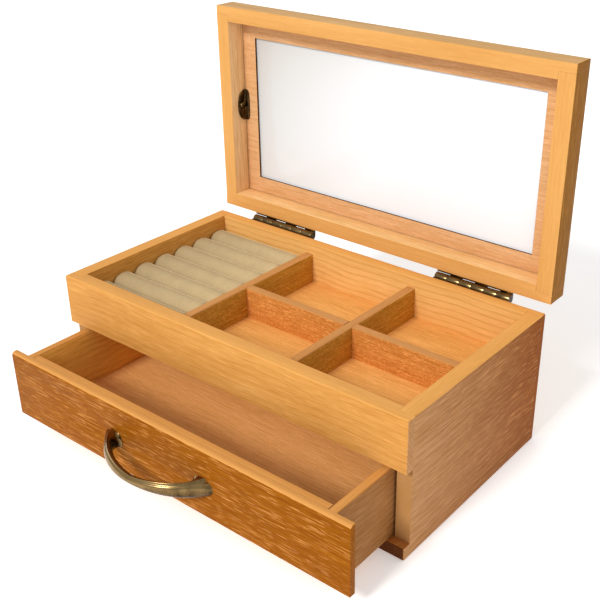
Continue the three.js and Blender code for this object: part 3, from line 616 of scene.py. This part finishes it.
class JEWELRYBOX_OT_stage(bpy.types.Operator):
    """Sets out the studio floor, the soft lights and the camera"""
    bl_idname = "jewelrybox.stage"
    bl_label = "Stage"

    CAMERA_PLACE = (0.39517, -0.45524, 0.40546)
    CAMERA_TURN = (62.685, -0.173, 37.850)  # degrees about X, Y and Z
    LENS = 58.30
    LENS_SHIFT = (-0.075, 0.0033)
    SKY_STRENGTH = 0.62
    SUN_DIRECTION = (0.06, 0.80, -0.60)
    SUN_STRENGTH = 2.1
    SUN_WIDTH = math.radians(13)
    FLOOR_SIZE = 30
    FLOOR_DROP = 0.2 * MM

    def execute(self, context):
        scene = context.scene
        scene.view_settings.view_transform = "Standard"
        camera_data = bpy.data.cameras.new("camera")
        camera = bpy.data.objects.new("camera", camera_data)
        scene.collection.objects.link(camera)
        turn = Euler([math.radians(angle) for angle in self.CAMERA_TURN])
        camera.matrix_world = Matrix.LocRotScale(self.CAMERA_PLACE, turn, None)
        camera_data.sensor_width = 36
        camera_data.lens = self.LENS
        camera_data.shift_x, camera_data.shift_y = self.LENS_SHIFT
        camera_data.clip_start = 0.01
        scene.camera = camera

        world = bpy.data.worlds.new("studio")
        scene.world = world
        world.use_nodes = True
        background = world.node_tree.nodes["Background"]
        background.inputs["Color"].default_value = (1, 1, 1, 1)
        background.inputs["Strength"].default_value = self.SKY_STRENGTH

        # One soft light from the front and above. It is a sun so that the paper is lit evenly.
        data = bpy.data.lights.new("key_softbox", "SUN")
        data.angle = self.SUN_WIDTH
        data.energy = self.SUN_STRENGTH
        key = bpy.data.objects.new("key_softbox", data)
        scene.collection.objects.link(key)
        key.rotation_euler = Vector(self.SUN_DIRECTION).to_track_quat("-Z", "Y").to_euler()

        bpy.ops.object.select_all(action="DESELECT")
        bpy.ops.mesh.primitive_grid_add(x_subdivisions=8, y_subdivisions=8, size=self.FLOOR_SIZE,
                                        location=(0, 0, -self.FLOOR_DROP))
        floor = context.object
        floor.name = "floor"
        bpy.ops.object.transform_apply(location=True, rotation=False, scale=False)
        floor.data.materials.append(finish_material("paper_studio_white"))
        return {"FINISHED"}


class JEWELRYBOX_OT_case(bpy.types.Operator):
    """Builds the case: base, sides, front rail and back, with sanded rims"""
    bl_idname = "jewelrybox.case"
    bl_label = "Case"

    def execute(self, context):
        low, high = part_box("base_panel")
        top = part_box("front_rail")[1][2] / MM
        outer = [(0, low.x / MM), (0, high.x / MM), (1, low.y / MM), (1, high.y / MM), (2, 0.0), (2, top)]
        floor_low, floor_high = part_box("tray_floor")
        opening = [(0, floor_low.x / MM), (0, floor_high.x / MM),
                   (1, floor_low.y / MM), (1, floor_high.y / MM)]
        rim = (2, 1, EDGE, "rim")
        # The base's front edge is painted shadow, and its right end carries the sides' painted reflection.
        board("base_panel", "case", "Y", QUIET, "base", outer, (),
              [(1, -1, QUIET, "base_edge"), (0, 1, BOARD, ("side_front", "side"))])
        for side, sign in (("left", -1), ("right", 1)):
            # The sides' front edges are partly painted shade.
            rims = [(0, -sign, QUIET, "inside"), (1, -1, EDGE, "end_grain"), rim]
            # The sides' outer faces carry the painted reflection at the front.
            board(f"side_panel_{side}", "case", "Y", BOARD, ("side_front", "side"), outer, opening, rims)
        # The rail's ends carry the same painted reflection as the fronts of the sides.
        ends = [(0, 1, QUIET, "side_front"), (0, -1, QUIET, "side_front")]
        board("front_rail", "case", "X", RAIL, "rail", outer, opening, ends + [rim])
        ends = [(0, 1, QUIET, "side"), (0, -1, QUIET, "side")]
        board("back_panel", "case", "X", BACK, "back", outer, opening, ends + [rim])
        return {"FINISHED"}


class JEWELRYBOX_OT_tray(bpy.types.Operator):
    """Builds the tray: its floor and the three dividers"""
    bl_idname = "jewelrybox.tray"
    bl_label = "Tray"

    def execute(self, context):
        board("tray_floor", "case", "X", PLY, "tray_floor", slot="beech_plywood")
        for node, along in (("divider_left", "Y"), ("divider_right", "Y"), ("divider_cross", "X")):
            # The cross divider's colour is partly painted bounce light.
            stain = "divider" if along == "Y" else "divider_cross"
            board(node, "case", along, DIVIDER, stain, top_of(node, along), (), [(2, 1, EDGE, "divider_rim")])
        return {"FINISHED"}


class JEWELRYBOX_OT_ring_rolls(bpy.types.Operator):
    """Builds the ring board and the stuffed velvet rolls on it"""
    bl_idname = "jewelrybox.ring_rolls"
    bl_label = "Ring Rolls"

    ROLLS = 7
    UNEVENNESS = 0.16 * MM
    NARROWING = 0.012
    PRESSURE = 4
    LAST_FRAME = 20
    SPARE_WIDTH = 0.1 * MM
    SPARE_HEIGHT = 0.4 * MM

    def execute(self, context):
        sizes = context.scene.jewelry_box_sizes
        backing = copy_of("ring_pad_board", "ring_board")
        ease_edges(backing, lambda ends: 0.2 * MM, 2)
        backing.data.materials.append(finish_material("hardboard_bare"))
        settle(backing, "case", "fibreboard", "ring_pad_board")

        pattern = copy_of("ring_roll_1", "roll_pattern")
        only(pattern)
        remesh = pattern.modifiers.new("even", "REMESH")
        remesh.mode = "VOXEL"
        remesh.voxel_size = sizes.roll_voxel
        bpy.ops.object.modifier_apply(modifier=remesh.name)
        still = [v.co.copy() for v in pattern.data.vertices]
        self.stuff(context, pattern, still, sizes.roll_travel)
        smooth = pattern.modifiers.new("fine", "SUBSURF")
        smooth.levels = 1
        smooth.render_levels = 1
        only(pattern)
        bpy.ops.object.modifier_apply(modifier=smooth.name)
        bpy.ops.object.shade_smooth()

        low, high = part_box("ring_roll_1")
        middle = (low + high) / 2
        pitch = (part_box("ring_roll_2")[0] - low).y
        for i in range(self.ROLLS):
            roll = bpy.data.objects.new(f"velvet_roll_{i + 1}", pattern.data.copy())
            context.scene.collection.objects.link(roll)
            phase = random.Random(i + 11).uniform(0, 6.28)
            for v in roll.data.vertices:
                height = (v.co.z - low.z) / (high.z - low.z)
                sway = self.sway(v.co.x - low.x, phase)
                width = 1 - self.NARROWING * height * (1 + sway)
                v.co.z += self.UNEVENNESS * sway * height
                v.co.y = middle.y + (v.co.y - middle.y) * width + pitch * i
            roll.data.materials.append(finish_material("cotton_velvet"))
            settle(roll, "case", "velvet", f"ring_roll_{i + 1}")
        bpy.data.objects.remove(pattern)
        return {"FINISHED"}

    def sway(self, along, phase):
        """How full a roll is at a distance along it: a wave 85 mm long and a weaker one of 37 mm."""
        return math.sin(along * 74 + phase) + 0.6 * math.sin(along * 171 + phase * 2)

    def stuff(self, context, piece, still, travel):
        """Blows the roll up from inside as cloth. No point travels further than the stuffing allows."""
        cloth = piece.modifiers.new("stuffing", "CLOTH")
        cloth.settings.use_pressure = True
        cloth.settings.uniform_pressure_force = self.PRESSURE
        cloth.settings.effector_weights.gravity = 0
        cloth.settings.quality = 5
        cloth.point_cache.frame_start = 1
        cloth.point_cache.frame_end = self.LAST_FRAME
        for number in range(1, self.LAST_FRAME + 1):
            context.scene.frame_set(number)
        only(piece)
        bpy.ops.object.modifier_apply(modifier=cloth.name)
        context.scene.frame_set(1)
        low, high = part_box("ring_roll_1")
        for vertex, start in zip(piece.data.vertices, still):
            move = vertex.co - start
            if move.length > travel:
                move *= travel / move.length
            vertex.co = start + move
            vertex.co.x = min(max(vertex.co.x, low.x), high.x)
            vertex.co.y = min(max(vertex.co.y, low.y - self.SPARE_WIDTH), high.y + self.SPARE_WIDTH)
            vertex.co.z = min(max(vertex.co.z, low.z), high.z + self.SPARE_HEIGHT)


class JEWELRYBOX_OT_drawer(bpy.types.Operator):
    """Builds the drawer: front, inner front, sides, back and bottom"""
    bl_idname = "jewelrybox.drawer"
    bl_label = "Drawer"

    def execute(self, context):
        rim = (2, 1, EDGE, "drawer_rim")
        front = faces_of("drawer_front")
        board("drawer_front", "drawer", "X", BOARD, "drawer_front", front, (), [rim])
        for node, along in (("inner_front", "X"), ("side_left", "Y"), ("side_right", "Y"), ("back", "X")):
            edges = top_of(f"drawer_{node}", along)
            # The left side's inner face gets painted light.
            rims = [(0, 1, QUIET, "drawer_inside"), rim] if node == "side_left" else [rim]
            board(f"drawer_{node}", "drawer", along, QUIET, "drawer_side", edges, (), rims)
        # The drawer floor's colour is partly painted light.
        board("drawer_bottom", "drawer", "X", PLY, "drawer_floor", slot="beech_plywood")
        return {"FINISHED"}


class JEWELRYBOX_OT_pull(bpy.types.Operator):
    """Builds the cast bow pull, with a bead along its upper edge, and its two screws"""
    bl_idname = "jewelrybox.pull"
    bl_label = "Bow Pull"

    STEPS = 90
    SQUARENESS = 1.8
    HALF_SPAN = 40 * MM
    REACH = 22.4 * MM
    HEIGHT, FOOT_EXTRA_HEIGHT = 5.2 * MM, 7.4 * MM
    THICKNESS, FOOT_EXTRA_THICKNESS = 6.1 * MM, 12.4 * MM
    SECTION_POINTS = 56
    INNER_FLATNESS = 0.82
    # Scales of the section's points from the 8th above the outer face up: a groove, then a bead.
    GROOVE_START = 8
    GROOVE_AND_BEAD = (0.95, 0.91, 0.97, 1.07, 1.13, 1.07)

    def station(self, i, centre, face):
        """The i-th section along the pull: centre, turn about Z, thickness and height, in metres."""
        t = math.pi * (1 - i / self.STEPS)
        power = 2 / self.SQUARENESS
        along = math.copysign(abs(math.cos(t)) ** power, math.cos(t))
        away = abs(math.sin(t)) ** power
        slope_x = math.copysign(abs(along) ** (self.SQUARENESS - 1), along) / self.HALF_SPAN
        slope_y = away ** (self.SQUARENESS - 1) / self.REACH
        turn = math.atan2(slope_x, slope_y) - math.pi / 2
        height = self.HEIGHT + self.FOOT_EXTRA_HEIGHT * (1 - away) ** 0.5
        thickness = self.THICKNESS + self.FOOT_EXTRA_THICKNESS * (1 - away) ** 6
        place = Vector((centre.x + self.HALF_SPAN * along, face - self.REACH * away, centre.z))
        return place, turn, thickness, height

    def execute(self, context):
        low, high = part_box("drawer_pull")
        centre = (low + high) / 2
        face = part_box("drawer_front")[0].y
        bpy.ops.object.select_all(action="DESELECT")
        # The section stands in the XZ plane, one metre across, and its +X side is the pull's outer face.
        bpy.ops.mesh.primitive_circle_add(vertices=self.SECTION_POINTS, radius=0.5, fill_type="NGON",
                                          location=(0, 0, 0), rotation=(math.pi / 2, 0, 0))
        piece = context.object
        piece.name = "bow_pull"
        bpy.ops.object.transform_apply(location=True, rotation=True, scale=True)
        self.scale_arc(piece, 91, 269, (self.INNER_FLATNESS, 1, 1))
        spacing = 360 / self.SECTION_POINTS
        for i, scale in enumerate(self.GROOVE_AND_BEAD, self.GROOVE_START):
            self.scale_arc(piece, (i - 0.5) * spacing, (i + 0.5) * spacing, (scale, 1, scale))
        stations = [self.station(i, centre, face) for i in range(self.STEPS + 1)]
        bpy.ops.object.mode_set(mode="EDIT")
        bpy.ops.mesh.select_all(action="SELECT")
        bpy.ops.transform.translate(value=stations[0][0])
        last_place, last_turn, last_thickness, last_height = stations[0][0], 0, 1, 1
        for i, (place, turn, thickness, height) in enumerate(stations):
            if i:
                bpy.ops.mesh.extrude_region_move(TRANSFORM_OT_translate={"value": place - last_place})
            self.turn(-last_turn, place)
            growth = (thickness / last_thickness, 1, height / last_height)
            bpy.ops.transform.resize(value=growth, center_override=place)
            self.turn(turn, place)
            last_place, last_turn, last_thickness, last_height = place, turn, thickness, height
        bpy.ops.mesh.select_all(action="SELECT")
        bpy.ops.mesh.normals_make_consistent(inside=False)
        bpy.ops.object.mode_set(mode="OBJECT")
        bpy.ops.object.shade_smooth_by_angle(angle=math.radians(50))
        piece.data.materials.append(finish_material("brass_cast_relieved"))
        settle(piece, "drawer", "antique_brass", "drawer_pull")
        for side in ("left", "right"):
            screw = metal(f"pull_screw_{side}", "drawer", "steel_zinc_plated", "zinc_steel", 0.3 * MM)
            cut_slot(screw, Vector((0, 1, 0)), 1.1 * MM, 1.2 * MM)
        return {"FINISHED"}

    def turn(self, angle, centre):
        """Turns the selection about Z, anticlockwise from above.

        Without a window the operator turns clockwise, so the sign is reversed.
        """
        bpy.ops.transform.rotate(value=-angle, orient_axis="Z", center_override=centre)

    def scale_arc(self, piece, first, last, scale):
        """Scales the section's points between two angles, in degrees from its outer face."""
        bpy.ops.object.mode_set(mode="EDIT")
        bpy.ops.mesh.select_mode(type="VERT")
        bpy.ops.mesh.select_all(action="DESELECT")
        bpy.ops.object.mode_set(mode="OBJECT")
        for vertex in piece.data.vertices:
            angle = math.degrees(math.atan2(vertex.co.z, vertex.co.x)) % 360
            vertex.select = first < angle < last
        bpy.ops.object.mode_set(mode="EDIT")
        bpy.ops.transform.resize(value=scale, center_override=(0, 0, 0))
        bpy.ops.object.mode_set(mode="OBJECT")


HEAD_HEIGHT = 1.5 * MM


def cut_slot(screw, out, width, depth):
    """Cuts a straight driver slot across a screw's head, which faces along out."""
    only(screw)
    mesh = screw.data
    head = max(v.co.dot(out) for v in mesh.vertices)
    middle = sum((Vector(c) for c in screw.bound_box), Vector()) / 8
    across = Vector((0, 0, 1)) if abs(out.z) < 0.5 else Vector((0, 1, 0))
    if abs(out.x) > 0.5:
        across = Vector((0, 1, 1)).normalized()
    for sign in (-1, 1):
        bpy.ops.object.mode_set(mode="EDIT")
        bpy.ops.mesh.select_all(action="SELECT")
        bpy.ops.mesh.bisect(plane_co=middle + across * sign * width / 2, plane_no=across)
        bpy.ops.object.mode_set(mode="OBJECT")
    for face in mesh.polygons:
        inside = abs((face.center - middle).dot(across)) < width / 2
        face.select = inside and face.normal.dot(out) > 0.5 and face.center.dot(out) > head - HEAD_HEIGHT
    bpy.ops.object.mode_set(mode="EDIT")
    bpy.ops.mesh.select_mode(type="FACE")
    bpy.ops.mesh.extrude_region_move(TRANSFORM_OT_translate={"value": -out * depth})
    bpy.ops.object.mode_set(mode="OBJECT")


class JEWELRYBOX_OT_lid(bpy.types.Operator):
    """Builds the lid: rails, stiles, the surround, the mirror and the top panel"""
    bl_idname = "jewelrybox.lid"
    bl_label = "Lid"

    def execute(self, context):
        low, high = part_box("lid_rail_front")
        rear_low, rear_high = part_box("lid_rail_rear")
        outer = [(0, low.x / MM), (0, high.x / MM), (1, low.y / MM), (1, high.y / MM),
                 (2, high.z / MM), (2, rear_low.z / MM)]
        opening = [(0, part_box("lid_stile_left")[1].x / MM), (0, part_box("lid_stile_right")[0].x / MM),
                   (2, rear_high.z / MM), (2, low.z / MM)]
        rim = (1, -1, EDGE, "lid_rim")
        ends = [(0, 1, QUIET, "lid_side"), (0, -1, QUIET, "lid_side")]
        board("lid_rail_front", "lid", "X", RAIL, "lid_top", outer, opening, ends + [rim])
        board("lid_rail_rear", "lid", "X", RAIL, "lid_ledge", outer, opening, ends + [rim])
        for side, sign in (("left", -1), ("right", 1)):
            rims = [(0, sign, QUIET, "lid_side"), rim]
            board(f"lid_stile_{side}", "lid", "Z", RAIL, "lid_inside", outer, opening, rims)
        # The opening's edges are painted shade, a dark line round the mirror.
        cuts = [(axis, sign, EDGE, "cut_edge") for axis in (0, 2) for sign in (-1, 1)]
        board("mirror_surround", "lid", "X", PLY, "surround", (), (), cuts, "beech_plywood")
        board("lid_top_panel", "lid", "X", QUIET, "rail", slot="beech_plywood")
        pane = copy_of("mirror", "mirror_pane")
        ease_edges(pane, lambda ends: 0.3 * MM, 2)
        pane.data.materials.append(finish_material("glass_silvered"))
        settle(pane, "lid", "mirror_glass", "mirror")
        return {"FINISHED"}


class JEWELRYBOX_OT_hinges(bpy.types.Operator):
    """Builds the two hinges, with their pins and countersunk screws"""
    bl_idname = "jewelrybox.hinges"
    bl_label = "Hinges"

    HEAD_EASING = 0.1 * MM
    SLOT_WIDTH = 0.6 * MM
    SLOT_DEPTH = 0.5 * MM

    def execute(self, context):
        for side in ("left", "right"):
            metal(f"hinge_{side}_case_leaf", "case", "brass_sheet_darkened")
            metal(f"hinge_{side}_lid_leaf", "lid", "brass_sheet_darkened")
            metal(f"hinge_{side}_pin", "case", "brass_cast_relieved")
            for i in (1, 2, 3):
                for body, out in (("case", Vector((0, 1, 0))), ("lid", Vector((0, 0, -1)))):
                    screw = metal(f"hinge_{side}_{body}_screw_{i}", body, "brass_sheet_darkened",
                                  easing=self.HEAD_EASING)
                    cut_slot(screw, out, self.SLOT_WIDTH, self.SLOT_DEPTH)
        return {"FINISHED"}


class JEWELRYBOX_OT_clips(bpy.types.Operator):
    """Builds the two mirror clips and their screws"""
    bl_idname = "jewelrybox.clips"
    bl_label = "Mirror Clips"

    def execute(self, context):
        for side, sign in (("left", 1), ("right", -1)):
            metal(f"mirror_clip_{side}", "lid", "brass_sheet_darkened")
            screw = metal(f"clip_screw_{side}", "lid", "brass_cast_relieved", easing=0.15 * MM)
            cut_slot(screw, Vector((sign, 0, 0)), 0.7 * MM, 0.7 * MM)
        return {"FINISHED"}


class JEWELRYBOX_PT_panel(bpy.types.Panel):
    """Lists the jewelry box's sizes, colours and pieces"""
    bl_idname = "JEWELRYBOX_PT_panel"
    bl_label = "Jewelry Box"
    bl_space_type = "VIEW_3D"
    bl_region_type = "UI"
    bl_category = "Jewelry Box"

    def draw(self, context):
        layout = self.layout
        for group in (context.scene.jewelry_box_sizes, context.scene.jewelry_box_colours):
            for name in group.bl_rna.properties.keys():
                if name not in ("rna_type", "name"):
                    layout.prop(group, name)
        for operator in OPERATORS:
            layout.operator(operator.bl_idname)


OPERATORS = [
    JEWELRYBOX_OT_stage,
    JEWELRYBOX_OT_case,
    JEWELRYBOX_OT_tray,
    JEWELRYBOX_OT_ring_rolls,
    JEWELRYBOX_OT_drawer,
    JEWELRYBOX_OT_pull,
    JEWELRYBOX_OT_lid,
    JEWELRYBOX_OT_hinges,
    JEWELRYBOX_OT_clips,
]
CLASSES = [JewelryBoxSizes, JewelryBoxColours, *OPERATORS, JEWELRYBOX_PT_panel]


def register():
    for item in CLASSES:
        bpy.utils.register_class(item)
    bpy.types.Scene.jewelry_box_sizes = bpy.props.PointerProperty(type=JewelryBoxSizes)
    bpy.types.Scene.jewelry_box_colours = bpy.props.PointerProperty(type=JewelryBoxColours)


def unregister():
    del bpy.types.Scene.jewelry_box_colours
    del bpy.types.Scene.jewelry_box_sizes
    for item in reversed(CLASSES):
        bpy.utils.unregister_class(item)


def main():
    register()
    for operator in OPERATORS:
        group, name = operator.bl_idname.split(".")
        getattr(getattr(bpy.ops, group), name)()


if __name__ == "__main__":
    main()
